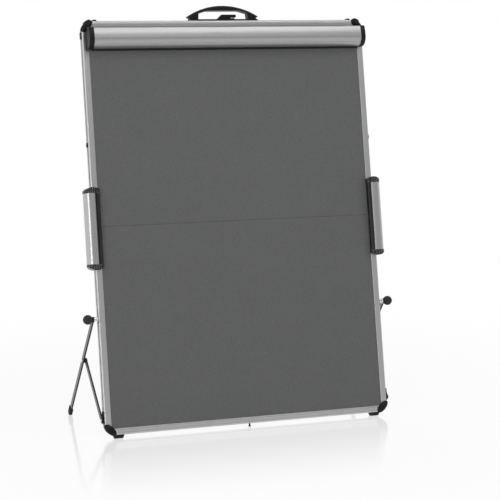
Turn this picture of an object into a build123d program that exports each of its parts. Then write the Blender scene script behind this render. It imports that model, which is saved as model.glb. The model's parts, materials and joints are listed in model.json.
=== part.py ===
# Tabletop flip chart: a felt board in two halves that fold back to back, on two folding legs.
# Places on the board are given as x (to the right), s (up the board) and d (depth behind its front face).
from build123d import *
from math import acos, asin, cos, radians, sin, sqrt
import os

os.makedirs("parts", exist_ok=True)

# The board
board_width = 720.0
board_height = 976.5
lean = 10.53
edge_height = 9.8
seam_gap = 0.5
corner_size = 25.0

# The frame extrusion, the same all round
rail_face = 15.5
rail_depth = 18.0
rail_round = 3.5
slot_mouth = 9.0
slot_lip = 2.0
slot_cavity = 15.0
slot_deep = 5.0
groove_deep = 6.0
front_lip = 1.2
back_lip = 1.6

# The panel in the frame
felt_thick = 1.0
felt_return = 0.8
skin_thick = 1.0
panel_gap = 0.3

# Small countersunk screws, the same in the hinges, the brackets and the handle, and their nuts
screw_radius = 1.5
screw_head = 2.7
screw_head_height = 1.2
nut_long = 14.0
bracket_nut_long = 16.0
edge_round = 1.2

# Clearances
slide_gap = 0.4
key_gap = 0.2
pin_gap = 0.06
side_gap = 0.3

# The hinges behind the seam
axis_depth = 20.0
knuckle_radius = 1.9
leaf_width = 14.0
leaf_length = 30.0
leaf_thick = 1.5
leaf_from_edge = 1.0
hinge_pin_radius = 1.0
hinge_screw_places = (9.0, 22.0)

# Feet, bumpers, pads, studs in the slots
foot_from_side = 33.5
foot_width = 25.0
foot_radius = 7.0
foot_flat = 0.3
foot_taper = 2.5
bumper_width = 9.0
bumper_height = 3.5
bumper_deep = 12.0
key_length = 7.0
bumper_key = 4.5
stop_from_top = 299.5
stop_length = 10.5
stop_height = 2.4
stop_wide = 10.0
pad_from_top = 34.5
pad_length = 15.5
pad_height = 2.4
keeper_neck = 2.0
keeper_head = 3.5
keeper_length = 7.4
keeper_head_height = 1.7

# Corner caps and the mouldings that carry the clamp
cap_half_length = 18.4
cap_half_width = 9.0
cap_sink = 1.0
cap_skirt = 6.0
cap_lip = 0.4
lug_of_corner = 8.0
hook_thick = 3.5
hook_plate = 4.0
hook_back = 14.0
hook_below = 21.5

# The clamp bar
clamp_from_side = 19.5
clamp_foot_drop = 69.9
clamp_stand_off = 10.0
clamp_sole = 7.6
clamp_belly = 23.4
clamp_brow_drop = 4.0
clamp_brow_height = 48.0
clamp_brow_round = 3.0
clamp_roof_back = 8.0
clamp_height = 51.4
clamp_chamfer = 7.0
clamp_wall = 2.0
ridge_height = 9.0
ridge_radius = 0.8
clamp_cap_thick = 12.0
clamp_cap_grow = 1.0
clamp_cap_wall = 2.0
clamp_cap_round = 2.5
clamp_pivot_forward = 18.0
clamp_pivot_height = 42.9
clamp_lug_radius = 4.5
clamp_lug_gap = 0.7
clamp_lug_play = 1.5
clamp_pin_radius = 2.0
spring_wire = 0.8
spring_length = 11.0
spring_from_end = 1.5
spring_gap = 0.5
spring_leg = 17.5
pin_past_spring = 1.0
jaw_thick = 2.0
jaw_nose = 3.9
jaw_end_gap = 2.5
jaw_back = 7.0

# The handle and the latch
handle_tip = 90.8
handle_tip_height = 11.9
handle_top = 38.0
handle_deep = 18.0
handle_middle = 20.0
handle_base = 85.8
handle_post_out = 84.8
handle_post_height = 8.6
handle_tip_cut = 1.5
handle_tip_drop = 2.5
handle_round = 5.0
base_thick = 3.0
base_front = 2.0
base_back = 28.6
base_lift = 0.5
gap_half_foot = 64.5
gap_half_shoulder = 62.5
gap_half_top = 41.0
gap_shoulder = 19.5
gap_top = 25.5
handle_screw_place = 53.0
latch_reach = 22.0
latch_ramp = 18.0
latch_bar_start = 6.0
latch_bar_end = 30.0
latch_body_end = 16.0
latch_wide = 11.0
latch_blade = 2.0
latch_under = 4.5
latch_top = 11.2
latch_gap = 0.3
latch_round = 1.5
latch_pin_radius = 2.5
latch_head_radius = 4.2
latch_head_height = 2.2

# The grip sleeves
grip_below_seam = 4.25
grip_length = 195.0
grip_cap_length = 14.0
grip_inner_from_side = 17.0
grip_crest_start_from_side = 14.7
grip_crest_end_from_side = 10.0
grip_crest = 13.5
grip_shoulder = 11.0
grip_shell_front = (-9.0, 9.2)
grip_shell_belly = (18.7, -8.5)
grip_shell_back = (2.6, -20.5)
shell_thick = 1.8
grip_cap_grow = 0.8
grip_dome_inner = 8.0
grip_dome_outer = 4.0
flute_count = 11
flute_radius = 0.9
grip_key_length = 70.0
stop_pocket_deep = 9.0
stop_pocket_side = 0.75
stop_pocket_over = 1.0

# The legs
bracket_pivot = 35.3
bracket_start = 27.0
bracket_end = 57.0
bracket_wide = 14.0
bracket_thick = 2.0
bracket_round = 3.0
bracket_screws_at = (44.0, 51.5)
knob_rest = 272.5
knob_offset = 0.4
strut_length = 182.0
arm_length = 150.0
strut_wide = 12.0
strut_thick = 4.0
leg_wide = 12.5
leg_thick = 4.0
bar_edge = 0.9
strut_side = 2.4
spacer_thick = 3.0
spacer_radius = 6.0
leg_play = 0.2
rivet_radius = 2.5
rivet_head = 4.2
rivet_inner_head = 4.0
rivet_head_height = 1.3
rivet_round = 0.9
stud_radius = 2.2
bolt_head_radius = 5.3
knob_radius = 11.5
knob_from_side = 24.0
knob_neck_radius = 5.5
washer_radius = 6.5
washer_thick = 2.8
inner_washer_thick = 1.6
tube_radius = 4.2
leg_foot_radius = 8.0
leg_foot_length = 24.0
leg_foot_thick = 7.6

# What follows from the sizes above
half_width = board_width / 2
half_height = (board_height - seam_gap) / 2
upper_start = half_height + seam_gap
seam_middle = half_height + seam_gap / 2
slot_line = rail_depth / 2
rail_flange = (rail_depth - slot_cavity) / 2
corner_start = half_width - corner_size
groove_floor = half_width - rail_face + groove_deep
panel_half = groove_floor - panel_gap
panel_foot = rail_face - groove_deep + panel_gap
panel_front = front_lip
panel_back = rail_depth - back_lip
cavity_out = half_width - slot_lip
cavity_in = cavity_out - slot_deep
foot_place = half_width - foot_from_side
stop_place = board_height - stop_from_top
pad_place = board_height - pad_from_top
clamp_half_length = half_width - clamp_from_side
clamp_foot = board_height - clamp_foot_drop
grip_middle = seam_middle - grip_below_seam
grip_inner = half_width - grip_inner_from_side
grip_crest_start = half_width - grip_crest_start_from_side
grip_crest_end = half_width - grip_crest_end_from_side
knob_place = half_width + knob_from_side
tilt = radians(lean)

# Where the leg comes down: the strut, the arm of the leg and the slot make a triangle
pivot_span = knob_rest - bracket_pivot
strut_angle = acos((strut_length**2 + pivot_span**2 - arm_length**2) / (2 * strut_length * pivot_span))
leg_angle = asin(strut_length * sin(strut_angle) / arm_length)
leg_line = slot_line + knob_offset
elbow = (leg_line + strut_length * sin(strut_angle), bracket_pivot + strut_length * cos(strut_angle))
knob_height = edge_height + knob_rest * cos(tilt) - leg_line * sin(tilt)
leg_drop = cos(leg_angle) * cos(tilt) + sin(leg_angle) * sin(tilt)
leg_run = sin(leg_angle) * cos(tilt) - cos(leg_angle) * sin(tilt)
leg_length = (knob_height - leg_foot_radius + foot_flat) / leg_drop

# The origin is under the middle of the whole object
knob_back = knob_rest * sin(tilt) + leg_line * cos(tilt)
back_reach = knob_back + leg_length * leg_run + leg_foot_radius
cap_centre = corner_size / 2
cap_rise = (cap_half_length**2 + cap_half_width**2) * sin(tilt) ** 2 / 2
cap_round = sqrt(cap_rise + (cap_half_width * cos(tilt)) ** 2)
front_reach = cap_centre * sin(tilt) + cap_sink * cos(tilt) - cap_round
board_y = -(back_reach + front_reach) / 2

board = Plane(origin=(0, board_y, edge_height), x_dir=(1, 0, 0), z_dir=(0, -cos(tilt), sin(tilt)))
right = board.x_dir
up = board.y_dir
forward = board.z_dir
back = -board.z_dir
below = (Align.CENTER, Align.CENTER, Align.MAX)
above = (Align.CENTER, Align.CENTER, Align.MIN)


def at(x, s, d, x_dir, z_dir):
    """Plane at a place on the board, with its own right and its own normal."""
    place = board.from_local_coords(Vector(x, s, -d))
    return Plane(origin=place, x_dir=x_dir, z_dir=z_dir)


def front(d=0.0):
    """Plane parallel to the board's face: local x to the right, local y up the board."""
    return at(0, 0, d, right, forward)


def across(s):
    """Plane across the board: local x to the right, local y into the depth."""
    return at(0, s, 0, right, up)


def end_on(x):
    """Plane seen from the board's side: local x forward of the face, local y up the board."""
    return at(x, 0, 0, forward, -right)


def side_slot(s):
    """Plane on the outer face of the right rail, on its slot line."""
    return at(half_width, s, slot_line, up, right)


def foot_slot(x):
    """Plane on the underside of the bottom rail, on its slot line."""
    return at(x, 0, slot_line, right, -up)


def top_slot(x):
    """Plane on the top face of the top rail, on its slot line."""
    return at(x, board_height, slot_line, right, up)


def other_side(piece):
    """The same piece for the left side of the board."""
    with BuildPart() as left:
        mirror(piece.part, about=Plane.YZ)
    return left


def both_sides(piece):
    """The right piece and its left twin as one group."""
    with BuildPart() as pair:
        add(piece.part)
        mirror(piece.part, about=Plane.YZ)
    return pair


def keep(name, piece):
    """Label a finished piece and write it."""
    piece.part.label = name
    export_step(piece.part, f"parts/{name}.step")


def rail(plane, length):
    """A length of the frame extrusion: local x points outward from its outer face, local y into the depth."""
    with BuildPart() as bar:
        with BuildSketch(plane) as section:
            with Locations((-rail_face / 2, slot_line)):
                Rectangle(rail_face, rail_depth)
            outer_front = section.vertices().sort_by(Axis.X)[-2:].sort_by(Axis.Y)[0]
            fillet(outer_front, radius=rail_round)
            with Locations((-slot_lip / 2, slot_line)):
                Rectangle(slot_lip, slot_mouth, mode=Mode.SUBTRACT)
            with Locations((-slot_lip - slot_deep / 2, slot_line)):
                Rectangle(slot_deep, slot_cavity, mode=Mode.SUBTRACT)
            with Locations((-rail_face + groove_deep / 2, (panel_front + panel_back) / 2)):
                Rectangle(groove_deep, panel_back - panel_front, mode=Mode.SUBTRACT)
        extrude(amount=length)
    return bar


def slot_key(plane, length):
    """T-shaped key that holds a piece in a slot, cut or added below the plane of the rail's outer face."""
    with Locations(plane):
        Box(length, slot_mouth - 2 * key_gap, slot_lip + key_gap, align=below)
    with Locations(plane.offset(-slot_lip - key_gap)):
        Box(length, slot_cavity - 2 * key_gap, slot_deep - 2 * key_gap, align=below)


def slot_plug(plane, length, wide, height, key_long):
    """Plastic plug on a slot: a rounded block outside, a T-shaped key inside at its lower or inner end."""
    with BuildPart() as plug:
        with Locations(plane):
            Box(length, wide, height, align=above)
        crown = plug.faces().sort_by(Axis(plane.origin, plane.z_dir))[-1]
        fillet(crown.edges(), radius=height / 2)
        toward_end = (length - key_long) / 2 - key_gap
        slot_key(Plane(plane.origin - plane.x_dir * toward_end, plane.x_dir, plane.z_dir), key_long)
    return plug


def sunk_screws(planes, length):
    """Countersunk screws, each head flush with its plane."""
    with BuildPart() as screws:
        with Locations(*planes):
            Cone(screw_radius, screw_head, screw_head_height, align=below)
            Cylinder(screw_radius, length, align=below)
    return screws


def sunk_holes(planes, length):
    """The holes for such screws, cut in the part that is being made."""
    hole = screw_radius + pin_gap
    with Locations(*planes):
        Cone(hole, screw_head + pin_gap, screw_head_height, align=below, mode=Mode.SUBTRACT)
        Cylinder(hole, length, align=below, mode=Mode.SUBTRACT)


def slot_nut(plane, long, bores, bore_radius):
    """Nut plate in a slot's cavity, with a bore for each screw, measured along the slot from the plane."""
    with BuildPart() as nut:
        with Locations(plane.offset(-slot_lip)):
            Box(long, slot_cavity - 2 * key_gap, slot_deep - 2 * key_gap, align=below)
            with Locations(*[(place, 0, 0) for place in bores]):
                Cylinder(bore_radius, slot_deep * 2, mode=Mode.SUBTRACT)
    return nut


# Hinge screws go in from the back, in line on each side rail
def hinge_screw_planes(sign):
    """Planes of the hinge screws below (-1) or above (+1) the seam, on the right rail."""
    line = half_width - slot_lip - slot_deep / 2
    heights = [seam_middle + sign * (seam_gap / 2 + place) for place in hinge_screw_places]
    return [at(line, s, rail_depth + leaf_thick, right, back) for s in heights]


lower_hinge_screws = hinge_screw_planes(-1)
upper_hinge_screws = hinge_screw_planes(1)
hinge_screw_length = leaf_thick + rail_flange


def side_rail(start, length, screws):
    """Right side rail of one half, with the holes of its hinge screws."""
    blank = rail(at(half_width, start, 0, right, up), length)
    with BuildPart() as bar:
        add(blank.part)
        with Locations(*screws):
            Cylinder(screw_radius + pin_gap, hinge_screw_length, align=below, mode=Mode.SUBTRACT)
    return bar


side_rail_length = half_height - corner_size
cross_rail_length = board_width - 2 * corner_size

lower_side = side_rail(corner_size, side_rail_length, lower_hinge_screws)
keep("lower_rail_right", lower_side)
keep("lower_rail_left", other_side(lower_side))
upper_side = side_rail(upper_start, side_rail_length, upper_hinge_screws)
keep("upper_rail_right", upper_side)
keep("upper_rail_left", other_side(upper_side))
keep("bottom_rail", rail(at(-corner_start, 0, 0, -up, right), cross_rail_length))
keep("top_rail", rail(at(corner_start, board_height, 0, up, -right), cross_rail_length))


def corner_block(mirror_height):
    """Silver corner piece: a quarter round with two lugs in the rails' slots and a pocket for the panel."""
    with BuildPart() as block:
        with BuildSketch(front(rail_depth)):
            with Locations((corner_start, corner_size)):
                Circle(corner_size)
            with Locations((corner_start - corner_size, corner_size)):
                Rectangle(corner_size * 2, corner_size * 4, mode=Mode.SUBTRACT)
            with Locations((corner_start, corner_size * 2)):
                Rectangle(corner_size * 4, corner_size * 2, mode=Mode.SUBTRACT)
            inner_corner = (half_width - rail_face, rail_face)
            with Locations(inner_corner):
                Rectangle(corner_size, corner_size, align=(Align.MAX, Align.MIN), mode=Mode.SUBTRACT)
        extrude(amount=rail_depth)
        block_front = block.faces().sort_by(Axis(board.origin, forward))[-1]
        fillet(block_front.edges().filter_by(GeomType.CIRCLE), radius=edge_round)
        with BuildSketch(front(panel_back)):
            with Locations((groove_floor, panel_foot - panel_gap)):
                Rectangle(corner_size * 2, corner_size * 2, align=(Align.MAX, Align.MIN))
        extrude(amount=panel_back - panel_front, mode=Mode.SUBTRACT)
        cavity_middle = slot_lip + slot_deep / 2
        lug_size = (slot_deep - 2 * key_gap, slot_cavity - 2 * key_gap, lug_of_corner)
        with Locations(at(half_width - cavity_middle, corner_size, slot_line, right, up)):
            Box(*lug_size, align=above)
        with Locations(at(corner_start, cavity_middle, slot_line, up, -right)):
            Box(*lug_size, align=above)
    if not mirror_height:
        return block
    with BuildPart() as upper:
        mirror(block.part, about=across(board_height / 2))
    return upper


keep("lower_corner_blocks", both_sides(corner_block(False)))
keep("upper_corner_blocks", both_sides(corner_block(True)))


def corner_cap():
    """Black cap on the lower right corner: half of a spun ellipse with a skirt over the corner's round."""
    diagonal = (right + up) / sqrt(2)
    lens_plane = at(half_width - cap_centre, cap_centre, cap_sink, diagonal, forward)
    with BuildPart() as cap:
        with BuildSketch(lens_plane):
            Ellipse(cap_half_length, cap_half_width)
            with Locations((0, -cap_half_width)):
                Rectangle(cap_half_length * 2, cap_half_width * 2, mode=Mode.SUBTRACT)
        revolve(axis=Axis(lens_plane.origin, diagonal))
        split(bisect_by=front(), keep=Keep.TOP)
        rim = sqrt(1 - (cap_sink / cap_half_width) ** 2)
        with BuildSketch(at(half_width - cap_centre, cap_centre, 0, diagonal, forward)):
            Ellipse(cap_half_length * rim - cap_lip, cap_half_width * rim - cap_lip)
        extrude(amount=-cap_skirt)
        with Locations(at(corner_start, corner_size, 0, right, forward)):
            Cylinder(corner_size, rail_depth, align=below, mode=Mode.SUBTRACT)
        with Locations(at(corner_start, cap_lip, 0, right, forward)):
            under_edge = (Align.CENTER, Align.MAX, Align.MAX)
            Box(board_width, corner_size, rail_depth, align=under_edge, mode=Mode.SUBTRACT)
    return cap


lower_cap = corner_cap()
keep("corner_caps", both_sides(lower_cap))


# The panel: core, felt face that wraps over the seam edge, and back skin
def panel(foot, head, seam_at_top):
    """Core, felt and back skin between two heights; the felt wraps over the edge at the seam."""
    width = panel_half * 2
    core_front = panel_front + felt_thick
    core_back = panel_back - skin_thick
    core_foot = foot if seam_at_top else foot + felt_return
    core_head = head - felt_return if seam_at_top else head
    lip_foot = core_head if seam_at_top else foot
    from_foot = (Align.CENTER, Align.MIN, Align.MIN)
    with BuildPart() as core:
        with Locations(at(0, core_foot, core_back, right, forward)):
            Box(width, core_head - core_foot, core_back - core_front, align=from_foot)
    with BuildPart() as felt:
        with Locations(at(0, foot, core_front, right, forward)):
            Box(width, head - foot, felt_thick, align=from_foot)
        with Locations(at(0, lip_foot, core_back, right, forward)):
            Box(width, felt_return, core_back - core_front, align=from_foot)
    with BuildPart() as skin:
        with Locations(at(0, foot, panel_back, right, forward)):
            Box(width, head - foot, skin_thick, align=from_foot)
    return core, felt, skin


for half, foot, head in (
    ("lower", panel_foot, half_height),
    ("upper", upper_start, board_height - panel_foot),
):
    for layer, piece in zip(("core", "felt", "back_skin"), panel(foot, head, half == "lower")):
        keep(f"{half}_{layer}", piece)


# Hinges: the lower leaf carries the two outer knuckles, the upper leaf the middle one
leaf_middle = half_width - leaf_from_edge - leaf_width / 2
knuckle_length = leaf_width / 3


def hinge_leaf(sign, knuckles, screws):
    """Leaf on the back of the right rail, below (-1) or above (+1) the seam, with its knuckles."""
    edge = seam_middle + sign * (knuckle_radius + side_gap)
    align_y = Align.MAX if sign < 0 else Align.MIN
    with BuildPart() as leaf:
        with Locations(at(leaf_middle, edge, rail_depth, right, forward)):
            Box(leaf_width, leaf_length, leaf_thick, align=(Align.CENTER, align_y, Align.MAX))
        sunk_holes(screws, hinge_screw_length)
        for place in knuckles:
            middle = leaf_middle + place * knuckle_length
            knuckle_span = knuckle_length - pin_gap * 2
            reach = knuckle_radius + side_gap
            with Locations(at(middle, seam_middle, rail_depth, right, forward)):
                Box(knuckle_span, reach, leaf_thick, align=(Align.CENTER, align_y, Align.MAX))
            with Locations(at(middle, seam_middle, axis_depth, up, right)):
                Cylinder(knuckle_radius, knuckle_span)
                Cylinder(hinge_pin_radius + pin_gap, knuckle_length, mode=Mode.SUBTRACT)
    return leaf


keep("lower_hinge_leaves", both_sides(hinge_leaf(-1, (-1, 1), lower_hinge_screws)))
keep("upper_hinge_leaves", both_sides(hinge_leaf(1, (0,), upper_hinge_screws)))

with BuildPart() as hinge_pin:
    with Locations(at(leaf_middle, seam_middle, axis_depth, up, right)):
        Cylinder(hinge_pin_radius, leaf_width)
keep("hinge_pins", both_sides(hinge_pin))

# Rubber feet: a half round that tapers to its ends, flat where it stands on the table
foot_centre = (foot_radius - foot_flat - edge_height + slot_line * sin(tilt)) / cos(tilt)
with BuildPart() as foot:
    with BuildSketch(end_on(foot_place + foot_width / 2)):
        with Locations((-slot_line, foot_centre)):
            Circle(foot_radius)
        with Locations((-slot_line, 0)):
            Rectangle(foot_radius * 2, -foot_centre, align=(Align.CENTER, Align.MAX))
        with Locations((-slot_line, 0)):
            Rectangle(foot_radius * 4, foot_radius * 2, align=(Align.CENTER, Align.MIN), mode=Mode.SUBTRACT)
    extrude(amount=foot_width)
    with BuildSketch(front(-slot_line)):
        with BuildLine():
            depth_of_foot = foot_radius - foot_centre
            low_half = foot_width / 2 - foot_taper
            Polyline(
                (foot_place - foot_width / 2, 0),
                (foot_place - low_half, -depth_of_foot),
                (foot_place + low_half, -depth_of_foot),
                (foot_place + foot_width / 2, 0),
                close=True,
            )
        make_face()
    extrude(amount=-rail_depth * 3, mode=Mode.INTERSECT)
    split(bisect_by=Plane.XY, keep=Keep.TOP)
    slot_key(foot_slot(foot_place - foot_width / 2 + key_length / 2 + key_gap), key_length)
keep("rubber_feet", both_sides(foot))

bumper = slot_plug(top_slot(foot_place), bumper_width, bumper_deep, bumper_height, bumper_key)
stop_plane = side_slot(stop_place + stop_length / 2)
stop_stud = slot_plug(stop_plane, stop_length, stop_wide, stop_height, key_length)
side_pad = slot_plug(side_slot(pad_place), pad_length, stop_wide, pad_height, key_length)
keep("top_bumpers", both_sides(bumper))
keep("stop_studs", both_sides(stop_stud))
keep("side_pads", both_sides(side_pad))

# Keeper stud: the latch hooks its neck when the board is folded
with BuildPart() as keeper_stud:
    with Locations(foot_slot(0)):
        Cylinder(keeper_neck, keeper_length, align=above)
    with Locations(foot_slot(0).offset(keeper_length)):
        Cylinder(keeper_head, keeper_head_height, align=below)
    slot_key(foot_slot(0), key_length * 2)
keep("keeper_stud", keeper_stud)

# Handle: an arch on two posts over a base strip that spans both folded halves
handle_planes = [top_slot(place).offset(base_thick) for place in (-handle_screw_place, handle_screw_place)]
latch_plane = top_slot(0)
with BuildPart() as handle:
    with BuildSketch(at(0, board_height, handle_middle - handle_deep / 2, right, forward)):
        with BuildLine():
            ThreePointArc((-handle_tip, handle_tip_height), (0, handle_top), (handle_tip, handle_tip_height))
            Polyline(
                (handle_tip, handle_tip_height),
                (handle_tip - handle_tip_cut, handle_tip_height - handle_tip_drop),
                (handle_post_out, handle_post_height),
                (handle_base, base_thick),
                (handle_base, base_lift),
                (-handle_base, base_lift),
                (-handle_base, base_thick),
                (-handle_post_out, handle_post_height),
                (-handle_tip + handle_tip_cut, handle_tip_height - handle_tip_drop),
                (-handle_tip, handle_tip_height),
            )
        make_face()
        with BuildLine():
            Polyline(
                (-gap_half_foot, base_thick),
                (-gap_half_shoulder, gap_shoulder),
                (-gap_half_top, gap_top),
                (gap_half_top, gap_top),
                (gap_half_shoulder, gap_shoulder),
                (gap_half_foot, base_thick),
                close=True,
            )
        make_face(mode=Mode.SUBTRACT)
    extrude(amount=-handle_deep)
    long_arcs = handle.edges().filter_by(GeomType.CIRCLE).sort_by(SortBy.LENGTH)[-2:]
    fillet(long_arcs, radius=handle_round)
    with Locations(at(0, board_height, base_front, right, up)):
        Box(handle_base * 2, base_back - base_front, base_thick, align=(Align.CENTER, Align.MIN, Align.MIN))
    with Locations(at(0, board_height, rail_depth, right, up)):
        over_rail = (Align.CENTER, Align.MIN, Align.MIN)
        Box(handle_base * 3, base_back, base_lift, align=over_rail, mode=Mode.SUBTRACT)
    sunk_holes(handle_planes, base_thick)
    with Locations(latch_plane):
        Cylinder(latch_pin_radius + pin_gap, base_thick * 2, mode=Mode.SUBTRACT)
keep("handle", handle)
handle_screws = sunk_screws(handle_planes, base_thick + slot_lip + slot_deep - 2 * key_gap)
with BuildPart() as upper_screws:
    add(handle_screws.part)
    add(both_sides(sunk_screws(upper_hinge_screws, hinge_screw_length)).part)
keep("upper_screws", upper_screws)

# Latch: it turns on its pivot screw, and its notch takes the neck of the keeper stud
latch_seat = base_thick + latch_gap
with BuildPart() as latch_lever:
    with BuildSketch(at(0, board_height, slot_line - latch_wide / 2, right, forward)):
        with BuildLine():
            Polyline(
                (-latch_ramp, latch_seat),
                (-latch_bar_start, latch_seat + latch_top),
                (latch_bar_end, latch_seat + latch_top),
                (latch_bar_end, latch_seat + latch_under),
                (latch_body_end, latch_seat + latch_under),
                (latch_body_end, latch_seat + latch_blade),
                (latch_reach + latch_under, latch_seat + latch_blade),
                (latch_reach + latch_under, latch_seat),
                close=True,
            )
        make_face()
    extrude(amount=-latch_wide)
    latch_roof = latch_lever.faces().sort_by(Axis(board.origin, up))[-1]
    fillet(latch_roof.edges(), radius=latch_round)
    with Locations(latch_plane):
        Cylinder(latch_pin_radius + pin_gap, latch_top * 4, mode=Mode.SUBTRACT)
    with Locations(latch_plane.offset(latch_seat + latch_under)):
        Cylinder(latch_head_radius + latch_gap, latch_top, align=above, mode=Mode.SUBTRACT)
    notch_wide = (keeper_neck + latch_gap) * 2
    with Locations(at(latch_reach, board_height + latch_seat, slot_line, right, up)):
        Cylinder(notch_wide / 2, latch_blade * 2, mode=Mode.SUBTRACT)
        open_side = (Align.CENTER, Align.MIN, Align.CENTER)
        Box(notch_wide, latch_wide, latch_blade * 2, align=open_side, mode=Mode.SUBTRACT)
keep("latch_lever", latch_lever)

with BuildPart() as latch_pivot:
    pin_top = latch_seat + latch_under + latch_gap
    with Locations(latch_plane.offset(pin_top)):
        Cylinder(latch_pin_radius, pin_top + slot_lip + slot_deep - 2 * key_gap, align=below)
        Cylinder(latch_head_radius, latch_head_height, align=above)
keep("latch_pivot", latch_pivot)

with BuildPart() as top_nuts:
    add(slot_nut(top_slot(-handle_screw_place), nut_long, (0,), screw_radius).part)
    add(slot_nut(top_slot(0), nut_long, (0,), latch_pin_radius).part)
    add(slot_nut(top_slot(handle_screw_place), nut_long, (0,), screw_radius).part)
keep("top_slot_nuts", top_nuts)


# The clamp's own frame: forward of the felt side and up from its underside
def clamp_point(forward_by, up_by):
    """A point of the clamp bar's section, measured from its lower back corner."""
    return (clamp_stand_off + forward_by, clamp_foot + up_by)


def clamp_face():
    """Outline of the clamp bar: flat sole, quarter round to the belly, gentle arc to the brow, flat roof."""
    belly_reach = clamp_sole + clamp_belly
    brow = clamp_point(belly_reach - clamp_brow_drop, clamp_brow_height)
    with BuildLine() as outline:
        Line(clamp_point(0, 0), clamp_point(clamp_sole, 0))
        TangentArc(clamp_point(clamp_sole, 0), clamp_point(belly_reach, clamp_belly), tangent=(1, 0))
        TangentArc(clamp_point(belly_reach, clamp_belly), brow, tangent=(0, 1))
        Polyline(
            brow,
            clamp_point(clamp_roof_back, clamp_height),
            clamp_point(0, clamp_height - clamp_chamfer),
            clamp_point(0, 0),
        )
    face = make_face(outline.edges())
    fillet(face.vertices().sort_by_distance(brow)[0], radius=clamp_brow_round)


clamp_pivot = clamp_point(clamp_pivot_forward - clamp_stand_off, clamp_pivot_height)
belly_radius = clamp_belly
ridge_angle = asin((clamp_belly - ridge_height) / belly_radius)
ridge_point = clamp_point(clamp_sole + belly_radius * cos(ridge_angle), ridge_height)

with BuildPart() as clamp_bar:
    with BuildSketch(end_on(clamp_half_length)):
        clamp_face()
        offset(amount=-clamp_wall, kind=Kind.INTERSECTION, mode=Mode.SUBTRACT)
        with Locations(ridge_point):
            Circle(ridge_radius, mode=Mode.SUBTRACT)
    extrude(amount=clamp_half_length * 2)
keep("clamp_bar", clamp_bar)

lug_side = clamp_cap_wall + clamp_lug_gap
lug_inner = clamp_half_length + lug_side
lug_outer = clamp_half_length + clamp_cap_thick - lug_side
with BuildPart() as clamp_cap:
    cap_outer = clamp_half_length + clamp_cap_thick
    with BuildSketch(end_on(cap_outer)):
        clamp_face()
        offset(amount=clamp_cap_grow, kind=Kind.INTERSECTION)
    extrude(amount=clamp_cap_thick)
    outer_face = clamp_cap.faces().sort_by(Axis(board.origin, right))[-1]
    fillet(outer_face.edges(), radius=clamp_cap_round)
    with BuildSketch(end_on(cap_outer - clamp_cap_wall)):
        pocket_low = clamp_pivot[1] - clamp_lug_radius * 2
        pocket_front = clamp_pivot[0] + clamp_lug_radius + clamp_lug_play
        with Locations((pocket_front, pocket_low)):
            Rectangle(pocket_front, board_height, align=(Align.MAX, Align.MIN))
    extrude(amount=clamp_cap_thick - 2 * clamp_cap_wall, mode=Mode.SUBTRACT)
    with Locations(at(cap_outer - clamp_cap_wall / 2, clamp_pivot[1], -clamp_pivot[0], up, right)):
        Cylinder(clamp_pin_radius + pin_gap, clamp_cap_thick * 2, align=below, mode=Mode.SUBTRACT)
keep("clamp_cap_right", clamp_cap)
keep("clamp_cap_left", other_side(clamp_cap))

# Black moulding of an upper corner: lens, hook over the top edge, and the lug that carries the clamp's pin
with BuildPart() as clamp_bracket:
    mirror(lower_cap.part, about=across(board_height / 2))
    hook_low = board_height - hook_below
    hook_size = (clamp_cap_thick, board_height + hook_thick - hook_low, hook_plate + hook_back)
    hook_at = at(clamp_half_length, hook_low, hook_back, right, forward)
    with BuildPart(mode=Mode.PRIVATE) as hook:
        with Locations(hook_at):
            Box(*hook_size, align=Align.MIN)
        corner_axis = at(corner_start, board_height - corner_size, -hook_plate * 2, right, forward)
        with Locations(corner_axis):
            Cylinder(corner_size + hook_thick, rail_depth * 3, align=below, mode=Mode.INTERSECT)
        with Locations(at(corner_start, board_height - corner_size, 0, right, forward)):
            Cylinder(corner_size, rail_depth * 2, align=below, mode=Mode.SUBTRACT)
    add(hook.part)
    with BuildSketch(end_on(lug_outer)):
        plate_middle = hook_plate / 2
        with BuildLine():
            Polyline(
                (plate_middle, hook_low),
                (clamp_pivot[0], clamp_pivot[1] - clamp_lug_radius),
                (clamp_pivot[0], clamp_pivot[1] + clamp_lug_radius),
                (plate_middle, hook_low + clamp_lug_radius * 2),
                close=True,
            )
        make_face()
        with Locations(clamp_pivot):
            Circle(clamp_lug_radius)
            Circle(clamp_pin_radius, mode=Mode.SUBTRACT)
    extrude(amount=lug_outer - lug_inner)
keep("clamp_bracket_right", clamp_bracket)
keep("clamp_bracket_left", other_side(clamp_bracket))

spring_start = clamp_half_length - spring_length - spring_from_end
pin_start = spring_start - pin_past_spring
pin_out = clamp_half_length + clamp_cap_thick - clamp_cap_wall / 2 - pin_gap
with BuildPart() as clamp_pin:
    with Locations(at(pin_start, clamp_pivot[1], -clamp_pivot[0], up, right)):
        Cylinder(clamp_pin_radius, pin_out - pin_start, align=above)
keep("clamp_pins", both_sides(clamp_pin))

# Torsion spring: close coils round the pin and a straight leg that presses on the bar
coil_radius = clamp_pin_radius + spring_gap + spring_wire
turns = int(spring_length / (spring_wire * 2))
with BuildPart() as clamp_spring:
    coil_axis = at(spring_start, clamp_pivot[1], -clamp_pivot[0], forward, right)
    with Locations(coil_axis):
        Cylinder(coil_radius + spring_wire / 2, spring_length, align=above)
        Cylinder(coil_radius - spring_wire / 2, spring_length, align=above, mode=Mode.SUBTRACT)
    for turn in range(turns):
        with Locations(coil_axis.offset(spring_wire * (2 * turn + 1))):
            Torus(coil_radius, spring_wire)
    leg_plane = at(spring_start + spring_wire, clamp_pivot[1] - coil_radius, -clamp_pivot[0], up, forward)
    with Locations(leg_plane):
        Cylinder(spring_wire, spring_leg, align=above)
keep("clamp_springs", both_sides(clamp_spring))

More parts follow.
